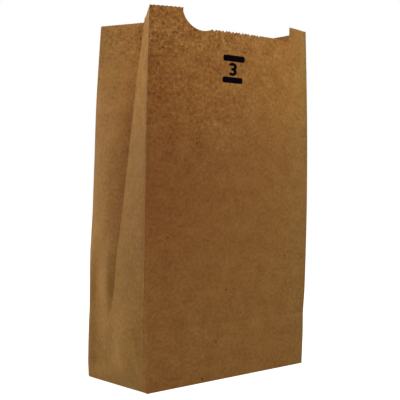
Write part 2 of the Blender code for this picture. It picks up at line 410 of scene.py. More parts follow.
def side_cut(front_first, corner_climb):
    """A side's cut edge, lower on its back half, which climbs a little to its corner."""
    step_at = half_depth + step_setback
    edge = toothed(0.0, half_depth, side_teeth) + [(step_at - cut_step, 0.0)]
    edge += [(place, back_drop + drop - corner_climb * (place - half_depth) / half_depth)
             for place, drop in toothed(step_at, bag_depth, side_teeth)]
    if not front_first:
        edge = [(bag_depth - place, drop) for place, drop in reversed(edge)]
    return edge


def back_cut(corner_climb):
    """The back panel's cut edge, which climbs to its left corner."""
    return [(place, back_drop + drop - corner_climb * (place / bag_width) ** 2)
            for place, drop in toothed(0.0, bag_width)]


def whole_cut():
    """The cut edge round the bag from the front's left edge, as places with drops."""
    panels = ((0.0, front_cut()), (side_start, side_cut(True, 0.0)),
              (back_start, back_cut(left_climb)), (left_start, side_cut(False, left_climb)))
    return [(start + place, drop) for start, edge in panels for place, drop in edge]


def drop_at(edge, place):
    """How far the cut edge lies under the bag's height at a place."""
    place %= bag_round
    for (a, drop_a), (b, drop_b) in zip(edge, edge[1:]):
        if a <= place <= b:
            return drop_a + (drop_b - drop_a) * (place - a) / max(b - a, tiny)
    return edge[-1][1]


def sheet_columns(edge):
    """Places of the sheet's upright lines, none crowding a corner, each with its cut end's height."""
    near, far = clear_of_fold
    places = [place for place, _ in edge
              if not any(near < abs(place - fold) < far for fold in corner_folds)]
    places += [fold + fold_line_gap * step for fold in corner_folds + centre_folds
               for step in (-2, -1, 0, 1, 2)]
    wrapped = [p % bag_round for p in places]
    whole = [p - bag_round for p in wrapped] + wrapped
    whole += [sheet_start, sheet_end, seam_edge, seam_edge - seam_ramp]
    whole = sorted(p for p in whole if sheet_start - tiny <= p <= sheet_end + tiny)
    kept = []
    for p in whole:
        if not kept or p - kept[-1] > least_gap:
            kept.append(p)
    return [(p, bag_height - drop_at(edge, p)) for p in kept]


def sheet_rises():
    """Heights of the sheet's level lines up to where they begin to follow the cut."""
    rises = list(foot_rises)
    while rises[-1] + rise_step < half_depth - 2 * crease_line_gap:
        rises.append(rises[-1] + rise_step)
    rises += [half_depth - crease_line_gap, half_depth, half_depth + crease_line_gap]
    while rises[-1] < last_level_rise:
        rises.append(rises[-1] + rise_step)
    return rises


def flap_place(place, depth):
    """Where an upright line goes on a bottom flap: the front's and the back's converge."""
    around = place % bag_round
    if around < bag_width:
        return place + depth * (1.0 - 2.0 * around / bag_width)
    if back_start < around < left_start:
        if place < 0:
            free = sheet_start + bag_round
            return place - depth * (around - free) / (left_start - free)
        return place + depth * (sheet_end - around) / (sheet_end - back_start)
    return place


def panel_of(place):
    """0 front, 1 right side, 2 back, 3 left side."""
    around = (place + tiny) % bag_round
    return next(i for i, end in enumerate((side_start, back_start, left_start, bag_round)) if around < end)


def flap_runs(columns):
    """The panels in the order of the sheet, each with its upright lines; the seam parts the back."""
    runs = []
    for i, ((start, _), (end, _)) in enumerate(zip(columns, columns[1:])):
        panel = panel_of((start + end) / 2)
        if not runs or runs[-1][0] != panel:
            runs.append((panel, [i]))
        runs[-1][1].append(i + 1)
    return runs


def faces_between(lines):
    """Faces that join each line of points to the next one."""
    return [face for left, right in zip(lines, lines[1:])
            for face in zip(left, right, right[1:], left[1:])]


def sheet_mesh(name, points, faces):
    """A flat mesh, with a UV map that gives each point its true place on the sheet."""
    mesh = bpy.data.meshes.new(name)
    mesh.from_pydata(points, [], faces)
    uv = mesh.uv_layers.new(name="flat_sheet")
    for loop in mesh.loops:
        x, y = mesh.vertices[loop.vertex_index].co.xy
        uv.data[loop.index].uv = ((x - sheet_start) / sheet_span, (y + flap_length) / sheet_span)
    mesh.update()
    return mesh


def flat_sheet():
    """The cut sheet laid flat: the walls above the bottom fold, and the four flaps under it."""
    columns = sheet_columns(whole_cut())
    rises = sheet_rises()
    flap_depths = [first_flap_row] + [flap_length * row / flap_rows for row in range(2, flap_rows + 1)]
    points, layers = [], []

    def add_line(places, panel):
        """Add the points of one line, and say which they are."""
        first = len(points)
        points.extend((x, y, 0.0) for x, y in places)
        layers.extend([layer_of_panel[panel]] * len(places))
        return list(range(first, len(points)))

    walls = []
    for place, top in columns:
        upper = [rises[-1] + (top - rises[-1]) * i / rows_up_to_cut for i in range(1, rows_up_to_cut + 1)]
        walls.append(add_line([(place, rise) for rise in rises + upper], panel_of(place)))
    faces = faces_between(walls)
    for panel, run in flap_runs(columns):
        run_start, run_end = columns[run[0]][0] + flap_gap, columns[run[-1]][0] - flap_gap
        flap = []
        for i in run:
            inner = min(max(columns[i][0], run_start), run_end)
            places = [(flap_place(inner, depth), -depth) for depth in flap_depths]
            flap.append(add_line(places, panel)[::-1] + [walls[i][0]])
        faces += faces_between(flap)
    mesh = sheet_mesh("flat_sheet", points, faces)
    overlap = [min(max((x - seam_edge) / seam_ramp + 1.0, 0.0), 1.0) for x, _, _ in points]
    for name, values in (("layer", layers), ("overlap", overlap)):
        mesh.attributes.new(name, "FLOAT", "POINT").data.foreach_set("value", values)
    return mesh


# The folding tree.

def gusset_bulge(sizes, across, on_back_half, above_fold):
    """How far the left side swells; its back half buckles outwards beside its drawn-in centre fold."""
    ridge_at = ridge_place - above_fold.least(ridge_shift_ends) * ridge_shift
    ridge = softened_least(across / ridge_at, (1.0 - across) / (1.0 - ridge_at), ridge_softness)
    ridge = ridge * (above_fold / ridge_start).least(1.0)
    swelling = (across * math.pi).sine()
    back_bulge = choose(above_fold.eased(*ridge_spreads), swelling, ridge) * sizes.back_half_bulge
    front_bulge = ((across ** front_half_lean) * math.pi).sine() * sizes.front_half_bulge
    return choose(on_back_half, back_bulge, front_bulge)


def foot_edge(sizes, share, rise):
    """How far the left side's foot stands out beyond its back fold, turning there as a rounded edge."""
    turn = (sizes.foot_turn * rise.fading(0.0, foot_turn_height)).most(least_foot_turn)
    corner = softened_least(share / turn, (1.0 - share) / (1.0 - turn), foot_softness)
    return corner * turn / sizes.foot_turn * sizes.foot_bulge


def foot_relief(sizes, share, rise):
    """A dent that runs up beside the foot's edge, and a crest before it, under the centre fold's end."""
    higher = rise.eased(*dent_narrows)
    dent_middle = dent_place - higher * dent_shift
    off_dent = share - dent_middle
    before = off_dent.most(0.0) / (dent_reach_before - higher * dent_narrowing)
    behind = (0.0 - off_dent).most(0.0) / (dent_middle * dent_reach_behind)
    dent = (before + behind).fading(0.0, 1.0) * (1.0 - higher * dent_shallowing) * sizes.side_dent
    crest = (share - crest_place).size().fading(0.0, crest_reach) * sizes.side_crest
    relief = dent * rise.fading(*dent_ends) - crest * rise.fading(*crest_ends)
    return relief * rise.eased(0.0, relief_start)


def folded_place(sizes, along, rise):
    """Where a point of the walls stands, from its place round the bag and its height."""
    width, depth = sizes.bag_width, sizes.bag_depth
    tall, skirt = sizes.bag_height, sizes.upright_skirt
    half = depth * 0.5
    climb = (rise - skirt).most(0.0)
    share_up = climb / (tall - skirt)
    share_fold = (climb / (half - skirt)).least(1.0)
    above_fold = (rise - half).most(0.0) / (tall - half)
    near_fold = rise.closeness(half, sizes.valley_reach)

    def drawn_in(inset):
        """How far a side's centre fold is drawn in; low down the side swells out instead."""
        return above_fold * (inset + sizes.base_swell) - sizes.base_swell * share_fold

    def opening(inset):
        """How far apart a side's two upright folds stand when its centre fold is drawn in."""
        return (half * half - inset * inset).root() * 2.0

    def across(share):
        """0 at a side's upright folds and 1 at its centre fold, or between the base's diagonals."""
        return ((1.0 - (share * 2.0 - 1.0).size()) / share_fold.most(least_share)).least(1.0).most(0.0)

    def bowed(share, flatness):
        """Where a share of a bowed panel lies along the panel's chord."""
        turned = 1.0 - share * 2.0
        return (share - flatness * (1.0 - turned * turned * turned)) / (1.0 - flatness * 2.0)

    def arched(share):
        """0 at a panel's two ends and 1 in its middle."""
        return share * 4.0 * (1.0 - share)

    left_in = drawn_in(sizes.left_gusset_inset) + above_fold.band(*apex_pull_band) * sizes.apex_pull
    right_in = drawn_in(sizes.right_gusset_inset)
    left_open, right_open = opening(left_in), opening(right_in)
    growth = share_up ** sizes.bow_growth
    front_bow, back_bow = growth * sizes.front_bow, growth * sizes.back_bow
    front_flat = (front_bow / width) ** 2.0 * bow_shortening
    back_flat = (back_bow / width) ** 2.0 * bow_shortening
    half_chord = width * (1.0 - front_flat * 2.0) * 0.5
    lean = share_up * sizes.mouth_lean
    belly = (share_up.least(1.0) * math.pi).sine() * sizes.right_belly
    left_x = lean - half_chord
    right_x = lean + half_chord + belly - near_fold * sizes.pinch_depth

    # The standing sheet settles out of square: each upright edge by its own amount.
    low = (1.0 - rise / (tall * settling_ends)).most(0.0)
    near_dx, near_dy = low * sizes.near_corner_settle_x, low * sizes.near_corner_settle_y
    right_dx, right_dy = low * sizes.right_corner_settle_x, low * sizes.right_corner_settle_y
    left_dx = rise.band(*waist_band) * sizes.left_back_waist + sizes.left_back_settle_x
    left_dy = sizes.left_back_settle_y
    roll_out = share_up.eased(*edge_roll_grows) * sizes.left_edge_roll

    front_share = along / width
    front_x = left_x + (right_x - left_x) * bowed(front_share, front_flat)
    front_x += choose(front_share, right_dx, near_dx)
    front_x -= (1.0 - front_share / edge_roll_reach).most(0.0) * roll_out
    valley = near_fold * sizes.valley_depth * (front_share * math.pi).sine()
    mark = rise.closeness(half, fold_mark_reach) * sizes.fold_mark
    mark = mark * (1.0 + front_share.eased(*fold_kink_place) * fold_kink_growth)
    front_y = valley + mark - half - front_bow * arched(front_share)
    front_y += choose(front_share, right_dy, near_dy)

    risen = (above_fold / bulge_start).least(1.0)
    fading = above_fold.fading(*bulge_fades)
    side_share = (along - width) / depth
    side_across = across(side_share)
    side_bulge = (side_across * math.pi).sine() * risen * sizes.right_side_bulge
    side_x = right_x - right_in * side_across + side_bulge + right_dx * (1.0 - side_share)
    side_y = right_open * side_share - half + right_dy * (1.0 - side_share)

    back_share = (along - width - depth) / width
    back_along = bowed(back_share, back_flat)
    back_x = choose(back_along, left_x, right_x) + left_dx * back_share
    back_y = choose(back_along, left_open, right_open) - half + left_dy * back_share
    back_y += back_bow * arched(back_share)

    left_share = (along - width * 2.0 - depth) / depth
    left_across = across(left_share)
    on_back_half = (0.5 - left_share).above(0.0)
    curl = (above_fold / curl_start).least(1.0) * fading * sizes.gusset_curl * on_back_half
    bulge = gusset_bulge(sizes, left_across, on_back_half, above_fold) * risen * fading
    far_x = left_x + left_in * (left_across ** (curl + 1.0)) - bulge
    far_x += foot_relief(sizes, left_share, rise) - foot_edge(sizes, left_share, rise)
    far_x += choose(left_share, near_dx, left_dx)
    far_x -= (left_share * 2.0 - 1.0).most(0.0) * roll_out
    far_y = left_open * (1.0 - left_share) - half + choose(left_share, near_dy, left_dy)

    past_front, past_side, past_back = (along.above(corner) for corner in sizes.corners)

    def standing(front, side, back, far):
        return choose(past_front, choose(past_side, choose(past_back, far, back), side), front)

    return standing(front_x, side_x, back_x, far_x), standing(front_y, side_y, back_y, far_y)


def folding_tree():
    """Geometry Nodes: folds a flat sheet, or what is printed on it, into the standing bag."""
    tree = bpy.data.node_groups.new("fold_paper_bag", "GeometryNodeTree")
    face = tree.interface
    face.new_socket("Geometry", in_out="INPUT", socket_type="NodeSocketGeometry")
    for name, value in fold_sizes.items():
        face.new_socket(name, in_out="INPUT", socket_type="NodeSocketFloat").default_value = value
    face.new_socket("Material", in_out="INPUT", socket_type="NodeSocketMaterial")
    face.new_socket("Geometry", in_out="OUTPUT", socket_type="NodeSocketGeometry")
    entry = added(tree, "NodeGroupInput")
    leaving = added(tree, "NodeGroupOutput")
    sizes = SimpleNamespace(**{name.lower().replace(" ", "_"): Wire(entry.outputs[name])
                               for name in fold_sizes})

    def attribute(name, kind="FLOAT"):
        return Wire(added(tree, "GeometryNodeInputNamedAttribute", name, data_type=kind).outputs[0])

    # A place's distance round the bag, its height on the walls and its distance in along the bottom.
    flat = added(tree, "GeometryNodeInputPosition")
    along_flat, rise_flat, _ = parts_of(Wire(flat.outputs[0]))
    width, depth = sizes.bag_width, sizes.bag_depth
    sizes.corners = (width, width + depth, width * 2.0 + depth)
    around = (width + depth) * 2.0
    along = (along_flat + around * (0.0 - along_flat).above(0.0)).most(least_place)
    rise = rise_flat.most(0.0)
    inward = (0.0 - rise_flat).most(0.0)

    # Round the folds by averaging the places a little before and after them.
    folds = sizes.corners + (width + depth * 0.5, width * 2.0 + depth * 1.5, around)
    reach = sizes.fold_radius - along
    for fold in folds:
        reach = reach.most(sizes.fold_radius - (along - fold).size())
    reach = reach.most(0.0) * fold_rounding
    before = along - reach
    before += around * (0.0 - before).above(0.0)
    after = along + reach
    after -= around * after.above(around)
    x_before, y_before = folded_place(sizes, before, rise)
    x_after, y_after = folded_place(sizes, after, rise)
    x = (x_before + x_after) * 0.5
    y = (y_before + y_after) * 0.5

    # Tuck the foot of the left side under, most at the near corner.
    past_front, past_side, past_back = (along.above(corner) for corner in sizes.corners)
    from_corner = choose(past_front, (around - along) / tuck_along_side, along / tuck_along_front)
    tuck_height = from_corner.eased(*tuck_height_grows, *tuck_heights)
    tuck = (1.0 - from_corner).most(0.0) * (1.0 - rise / tuck_height).most(0.0)
    x += tuck * sizes.corner_tuck * (1.0 - inward / tuck_under).most(0.0)

    # Bottom flaps run in from the foot of their wall, the side ones turned with the base.
    to_right = past_back - (past_front - past_side)
    to_rear = (1.0 - past_front) - (past_side - past_back)
    front_slope = (sizes.right_corner_settle_y - sizes.near_corner_settle_y) / width
    back_slope = (0.0 - sizes.left_back_settle_y) / width
    share_back = choose(past_back, around - along, along - width) / depth
    slope = choose(share_back, back_slope, front_slope)
    x += inward * to_right - plan_middle[0]
    y += inward * (to_rear + to_right * slope) - plan_middle[1]
    z = rise.most(attribute("layer") * sizes.layer_pitch)

    keep = added(tree, "GeometryNodeStoreNamedAttribute", data_type="FLOAT_VECTOR", domain="POINT")
    keep.inputs["Name"].default_value = "flat_place"
    feed(keep.inputs["Value"], vector(along, rise, inward))
    fold = added(tree, "GeometryNodeSetPosition")
    feed(fold.inputs["Position"], vector(x, y, z))

    # Push the folded paper out along its normals: soft wrinkles, and the seam's upper layer.
    kept_along, kept_rise, _ = parts_of(attribute("flat_place", "FLOAT_VECTOR"))
    place = vector(kept_along, kept_rise * wrinkle_squeeze, sizes.seed)
    broad = noise(place, scale=30.0, detail=1.0)
    small = noise(place, scale=85.0, detail=2.0, roughness=0.6)
    wave = (broad - 0.5) * broad_share + (small - 0.5) * small_share
    nearest = kept_along
    for fold_at in folds:
        nearest = nearest.least((kept_along - fold_at).size())
    calm = kept_rise.eased(*wrinkles_start) * kept_rise.eased(*wrinkles_grow, low_wrinkles, 1.0)
    calm = calm * nearest.eased(0.0, wrinkles_off_folds)
    lift = wave * calm * sizes.wrinkle_depth
    lift += attribute("overlap") * sizes.layer_pitch + sizes.lift
    outwards = Wire(added(tree, "GeometryNodeInputNormal").outputs[0])
    push = added(tree, "ShaderNodeVectorMath", outwards, lift, operation="SCALE")
    wrinkle = added(tree, "GeometryNodeSetPosition")
    feed(wrinkle.inputs["Offset"], Wire(push.outputs[0]))

    forget = added(tree, "GeometryNodeRemoveAttribute")
    forget.inputs["Name"].default_value = "flat_place"
    realise = added(tree, "GeometryNodeRealizeInstances")
    paint = added(tree, "GeometryNodeSetMaterial")
    tree.links.new(entry.outputs["Material"], paint.inputs["Material"])
    steps = (entry, keep, fold, wrinkle, forget, realise, paint, leaving)
    for step, following in zip(steps, steps[1:]):
        tree.links.new(step.outputs["Geometry"], following.inputs["Geometry"])
    return tree


def folded(name, flat_mesh, tree, material, thickness, lift=0.0):
    """Fold a flat mesh by the tree, give it its thickness and keep the plain result."""
    item = placed(name + "_flat", flat_mesh)
    sockets = {entry.name: entry.identifier for entry in tree.interface.items_tree
               if entry.in_out == "INPUT"}
    bend = item.modifiers.new("fold", "NODES")
    bend.node_group = tree
    bend[sockets["Lift"]] = lift
    bend[sockets["Material"]] = material
    shell = item.modifiers.new("thickness", "SOLIDIFY")
    shell.thickness = thickness
    shell.offset = -1.0
    shell.use_even_offset = True
    ready = item.evaluated_get(bpy.context.evaluated_depsgraph_get())
    mesh = bpy.data.meshes.new_from_object(ready)
    bpy.data.objects.remove(item)
    mesh.name = name
    mesh.shade_smooth()
    mesh.set_sharp_from_angle(angle=math.radians(38))
    return placed(name, mesh)


# Finishes.

kraft_brown = (0.203, 0.094, 0.024, 1.0)
kraft_amber = (0.24, 0.111, 0.0252, 1.0)
kraft_pale = (0.4, 0.225, 0.09, 1.0)
kraft_dark = (0.045, 0.018, 0.008, 1.0)
kraft_rust = (0.3, 0.08, 0.015, 1.0)
kraft_bark = (0.11, 0.026, 0.006, 1.0)
ink_black = (0.0008, 0.0006, 0.0016, 1.0)
ink_worn = (0.022, 0.013, 0.010, 1.0)

# Tints, which multiply the paper's brown: painted sheen, less red where light grazes, and painted shade,
# redder, warmer or darker where the paper is shaded.
shade_and_random_red_tint = (0.87, 0.72, 0.67, 1.0)
side_sheen_tint = (0.94, 0.99, 0.95, 1.0)
shade_warming_tint = (1.07, 0.99, 0.94, 1.0)
edge_shade_tint = (0.84, 0.97, 0.99, 1.0)
front_sheen_tint = (0.968, 1.035, 1.06, 1.0)

# How strongly the paper's tone moves each of red, green and blue.
tone_spread = (1.0, 1.35, 1.8)

# Ovals on the front: their middles, along and up, and their half sizes.
rubbed_oval = ((48.0 * MM, 148.0 * MM), (19.0 * MM, 9.0 * MM))
stain_oval = ((95.5 * MM, 206.6 * MM), (4.5 * MM, 1.8 * MM))

# The specks of bark that stand out on the front: place along, height and radius, in millimetres.
seen_specks = ((8.1, 193.7, 0.90), (3.7, 167.5, 0.95), (30.9, 140.3, 0.95), (30.7, 143.2, 0.65),
               (39.9, 107.3, 0.75), (14.1, 86.3, 0.85), (101.1, 71.9, 0.80), (55.7, 53.6, 0.90),
               (49.9, 22.9, 0.90), (40.3, 2.4, 0.95), (41.1, 83.7, 0.65), (73.0, 57.9, 0.60),
               (61.4, 195.7, 1.15))

# How far wear and the painted highlight reach along the folds, and how close machine ribs and specks lie.
pale_line_reach = 0.5 * MM
pale_crease_reach = 0.6 * MM
pale_level_fold_reach = 0.4 * MM
rib_pitch = 1.15 * MM
specks_per_metre = 210.0


def new_finish(name):
    material = bpy.data.materials.new(name)
    material.use_nodes = True
    tree = material.node_tree
    return material, tree, tree.nodes["Principled BSDF"]


def finish_surface(shader, colour, roughness, specular, height, bump_strength, bump_distance):
    """Give a shader its colour, its roughness and its fine relief."""
    feed(shader.inputs["Base Color"], colour)
    feed(shader.inputs["Roughness"], roughness)
    shader.inputs["Specular IOR Level"].default_value = specular
    bump = added(height.tree, "ShaderNodeBump")
    bump.inputs["Strength"].default_value = bump_strength
    bump.inputs["Distance"].default_value = bump_distance
    feed(bump.inputs["Height"], height)
    feed(shader.inputs["Normal"], Wire(bump.outputs[0]))


def sheet_place(tree):
    """The true place on the flat sheet, in metres, from the UV map."""
    node = added(tree, "ShaderNodeUVMap", uv_map="flat_sheet")
    u, v, _ = parts_of(Wire(node.outputs[0]))
    return u * sheet_span + sheet_start, v * sheet_span - flap_length


def mixed(share, first, second, blend="MIX"):
    """Two colours mixed by a share of the second."""
    node = added(share.tree, "ShaderNodeMix", share, first, second,
                 data_type="RGBA", blend_type=blend, clamp_factor=True)
    return Wire(next(socket for socket in node.outputs if socket.enabled))


def multiplied(colour, amounts):
    """A colour with its red, green and blue each multiplied by a number."""
    return Wire(added(colour.tree, "ShaderNodeVectorMath", colour, amounts, operation="MULTIPLY").outputs[0])


def within_oval(along, rise, oval):
    """1 in the middle of an oval on the sheet, falling to 0 at its rim."""
    middle, reach = oval
    return (1.0 - ((along - middle[0]) / reach[0]) ** 2.0 - ((rise - middle[1]) / reach[1]) ** 2.0).most(0.0)


def sheet_zones(along, rise):
    """Where a place of the sheet lies on its panel, its height in millimetres, and how rough it is."""
    on_side = (0.0 - along).above(0.0)
    share = (along / bag_width).held()
    up = rise / MM
    return SimpleNamespace(
        along=along,
        rise=rise,
        place=vector(along, rise),
        up=up,
        share=share,
        side_share=(along / bag_depth + 1.0).held(),
        on_side=on_side,
        on_front=(1.0 - along.above(bag_width)) * (1.0 - on_side),
        rough_top=up.eased(112, 180) * share.eased(0.35, 0.80, 1.0, 0.35) * (1.0 - on_side * 0.60),
        rough_tab=up.eased(184, 204) * share.fading(0.40, 0.85),
        rubbed=within_oval(along, rise, rubbed_oval),
    )


def pulp(at):
    """The paper's structure: slow clouds, mottling, fibres lying along the machine's run, and ribs."""
    along, rise = at.along, at.rise
    cloud = noise(at.place, scale=105.0, detail=3.0, roughness=0.60) - 0.5
    mottle = noise(at.place, scale=480.0, roughness=0.6) - 0.5
    fibres = noise(vector(along * 0.5, rise, 1.0), scale=1500.0, roughness=0.7, stretch=0.3) - 0.5
    cross = noise(vector(along, rise * 0.4, 3.0), scale=2200.0, detail=1.0) - 0.5
    dashes = noise(vector(along * 0.38, rise, 5.0), scale=900.0, detail=1.0)
    ribs = (along * (2.0 * math.pi / rib_pitch) + cloud * 3.0).sine()
    return cloud, mottle, fibres, cross, dashes, ribs


def painted_shading_and_rubbed_patch(at):
    """Painted light and shade in zones of the front and the left side, lighter or darker below 0; the rubbed
    patch is paler wear.
    """
    across, up = at.side_share, at.up
    # Painted light and shade on the left side: lighter or darker where light and shade fall, darker in the
    # valley and at the foot of the back fold.
    on_the_side = {
        "front half, low down": (across.closeness(0.66, 0.50) * up.fading(10, 60), 0.15),
        "beside the front fold, low down": (across.closeness(0.79, 0.19) * up.fading(10, 60), 0.20),
        "back half, under its middle": (across.fading(0.26, 0.42) * up.closeness(85, 55), 0.13),
        "valley's back slope, low down": (across.closeness(0.32, 0.16) * up.closeness(55, 18), 0.12),
        "valley's back slope, high up": (across.closeness(0.30, 0.22) * up.closeness(145, 30), 0.12),
        "in the valley": (across.closeness(0.48, 0.08) * up.eased(65, 90), -0.08),
        "at the back fold, low down": (across.fading(0.02, 0.10) * up.fading(45, 60), -0.10),
        "front half, higher up": (across.above(0.5) * up.eased(50, 90), -0.04),
        "back half, at the mouth": ((1.0 - across.above(0.5)) * up.eased(150, 200), 0.05),
    }
    # Painted light and shade on the front: darker beside the near fold high up and on the left half, lighter
    # on the near fold low down; the rubbed patch is paler wear.
    near_strip = (1.0 - at.share / 0.12).held() * (1.0 - at.on_side)
    left_half = at.on_front * (1.0 - at.share * 2.0).held()
    on_the_front = {
        "beside the near fold, high up": (near_strip * up.eased(130, 170), -0.11),
        "on the near fold, low down": (at.along.closeness(0.0, 3.5 * MM) * up.fading(60, 100), 0.10),
        "rubbed patch": (at.rubbed, 0.05),
        "left half, under the tab": (left_half * (1.0 - at.rough_tab), -0.06),
    }
    side_tone = sum(zone * strength for zone, strength in on_the_side.values())
    return side_tone * at.on_side + sum(zone * strength for zone, strength in on_the_front.values())


def ground_colour(at):
    """The paper's brown, amber towards the top, with painted sheen and painted shade tinted in zones."""
    up = at.up
    hue = noise(vector(at.along, at.rise, 11.0), scale=95.0, detail=1.0) - 0.5
    shaded_left_front = (1.0 - at.share) * (1.0 + at.along / (6.0 * MM)).held() * (up / 100.0).held().most(0.25)
    gusset_back = 1.0 - at.side_share.above(0.5)
    sheen_by_back_fold = at.side_share.fading(0.15, 0.30) * up.closeness(95, 50)
    # Painted shade: redder on the left of the front, warmer high in the side's valley, darker at the right
    # edge's fold. Painted sheen: less red on the side and on the right of the front. The red tint also
    # follows a random hue.
    tints = (
        ((shaded_left_front + hue * 0.9).held() * (1.0 - at.rough_tab * 0.35), shade_and_random_red_tint),
        (at.on_side * (1.0 - gusset_back * up.eased(50, 120) + sheen_by_back_fold), side_sheen_tint),
        (at.on_side * at.side_share.closeness(0.40, 0.22) * up.eased(70, 120), shade_warming_tint),
        (at.on_front * at.share.eased(0.955, 0.99) * up.eased(115, 155), edge_shade_tint),
        (at.on_front * at.share.eased(0.80, 0.95), front_sheen_tint),
    )
    ground = mixed(up.eased(130, 185), kraft_brown, kraft_amber)
    for zone, tint in tints:
        ground = mixed(zone, ground, tint, blend="MULTIPLY")
    return ground


def with_flecks(at, colour):
    """Pale flecks and single pale fibres, thin and short, lying at all angles."""
    flecks = noise(vector(at.along, at.rise, 9.0), scale=430.0, roughness=0.6)
    strength = at.rough_top * 0.20 + at.rough_tab * 0.30 + at.rubbed * 0.30 + 0.04
    colour = mixed(flecks.eased(0.54, 0.72) * strength, colour, kraft_pale)
    fibres = noise(vector(at.along, at.rise * 0.5, 7.0), scale=1300.0, detail=0.0)
    strength = at.rough_top * 0.16 + 0.10
    return mixed(fibres.eased(0.68, 0.80) * strength, colour, kraft_pale)


def with_specks(at, colour):
    """Dark specks of bark, a few rusty ones, and the specks and the stain that stand out."""
    cells = added(at.place.tree, "ShaderNodeTexVoronoi", at.place, specks_per_metre, feature="F1")
    away = Wire(cells.outputs["Distance"])
    luck = parts_of(Wire(cells.outputs["Color"]))
    colour = mixed(away.fading(0.045, 0.075) * luck[0].above(0.90) * 0.75, colour, kraft_dark)
    colour = mixed(away.fading(0.05, 0.10) * luck[1].above(0.985) * 0.8, colour, kraft_rust)
    for speck_along, speck_rise, radius in seen_specks:
        off_along = at.along - speck_along * MM
        off_rise = at.rise - speck_rise * MM
        off_speck = (off_along * off_along + off_rise * off_rise).root()
        spot = off_speck.fading(0.5 * radius * MM, radius * MM)
        colour = mixed(spot * 0.95, colour, kraft_bark)
    return mixed(within_oval(at.along, at.rise, stain_oval) * 0.70, colour, kraft_rust)


def fold_wear_and_highlight(at):
    """Wear along the folds, a little broken, and a painted highlight on the creases and the base's diagonal
    folds.
    """
    around = at.along + bag_round * at.on_side
    above_fold = at.rise.above(half_depth)
    wear_and_highlight = sum(around.closeness(fold, pale_line_reach) * 0.8
               for fold in corner_folds + (bag_round,))
    for crease in centre_folds:
        off_middle = (around - crease).size()
        on_gusset = 1.0 - off_middle.above(half_depth)
        # Painted highlight along the base's diagonal folds, under the level fold.
        diagonal_crease_highlight = at.rise.closeness(half_depth - off_middle, pale_line_reach)
        wear_and_highlight += around.closeness(crease, pale_crease_reach) * above_fold * 0.9
        wear_and_highlight += diagonal_crease_highlight * on_gusset * (1.0 - above_fold) * 0.6
    wear_and_highlight += at.rise.closeness(half_depth, pale_level_fold_reach) * 0.10
    wear_and_highlight += at.rise.closeness(0.0, pale_line_reach) * 0.5
    return wear_and_highlight * noise(at.place, scale=900.0).eased(0.30, 0.62)


def kraft_paper():
    """Unbleached kraft: cloudy pulp, fibres, ribbing from the machine, specks, pale folds of wear and
    painted highlight, and painted light, shade and sheen in zones.
    """
    material, tree, shader = new_finish("kraft_paper_sheet")
    at = sheet_zones(*sheet_place(tree))
    cloud, mottle, fibres, cross, dashes, ribs = pulp(at)
    grain = at.rough_top * 0.55 + at.rough_tab * 0.50 + 0.60
    tone = (cloud * 0.66 + mottle + fibres * 0.55 + cross * 0.15) * grain
    # The zone tones add painted light and shade, and the paler rubbed patch.
    tone = tone - dashes.eased(0.58, 0.80) * 0.12 + ribs * 0.010 + painted_shading_and_rubbed_patch(at)
    shades = vector(*(tone * spread + 1.0 for spread in tone_spread))
    # The ground colour carries the painted sheen and painted shade tints.
    colour = with_specks(at, with_flecks(at, multiplied(ground_colour(at), shades)))
    wear_and_highlight = fold_wear_and_highlight(at)
    # The folds are painted paler, partly as wear and partly as painted highlight.
    finish_surface(shader, colour=mixed(wear_and_highlight * 0.35, colour, kraft_pale),
                   roughness=(0.66 + fibres * 0.18 - wear_and_highlight * 0.05).held(), specular=0.05,
                   height=fibres * 0.5 + cross * 0.3 + mottle * 0.8 + ribs * 0.05 + cloud * 1.2,
                   bump_strength=0.25, bump_distance=0.12 * MM)
    return material


def black_ink():
    """Black flexo ink on kraft: dense, a little mottled by the paper under it."""
    material, tree, shader = new_finish("black_print_ink")
    patchy = noise(vector(*sheet_place(tree)), scale=900.0, detail=3.0, roughness=0.7)
    colour = mixed(patchy.eased(0.58, 0.85) * 0.4, ink_black, ink_worn)
    finish_surface(shader, colour, roughness=0.55 + patchy * 0.2, specular=0.01,
                   height=patchy, bump_strength=0.3, bump_distance=0.05 * MM)
    return material


# The printed mark.

def bar_mark(name, left, right, low, high, cells=22, rows=6):
    """A plain bar with softly rounded ends, as a grid on the flat sheet."""
    middle, half_height = (low + high) / 2, (high - low) / 2
    soft = half_height * 0.45
    points, lines = [], []
    for i in range(cells + 1):
        x = left + (right - left) * i / cells
        near_end = min(x - left, right - x)
        reach = half_height
        if near_end < soft:
            reach = half_height - soft + math.sqrt(max(soft ** 2 - (soft - near_end) ** 2, 0.0))
        lines.append(range(len(points), len(points) + rows + 1))
        points += [(x, middle + reach * (2 * j / rows - 1), 0.0) for j in range(rows + 1)]
    return sheet_mesh(name, points, faces_between(lines))


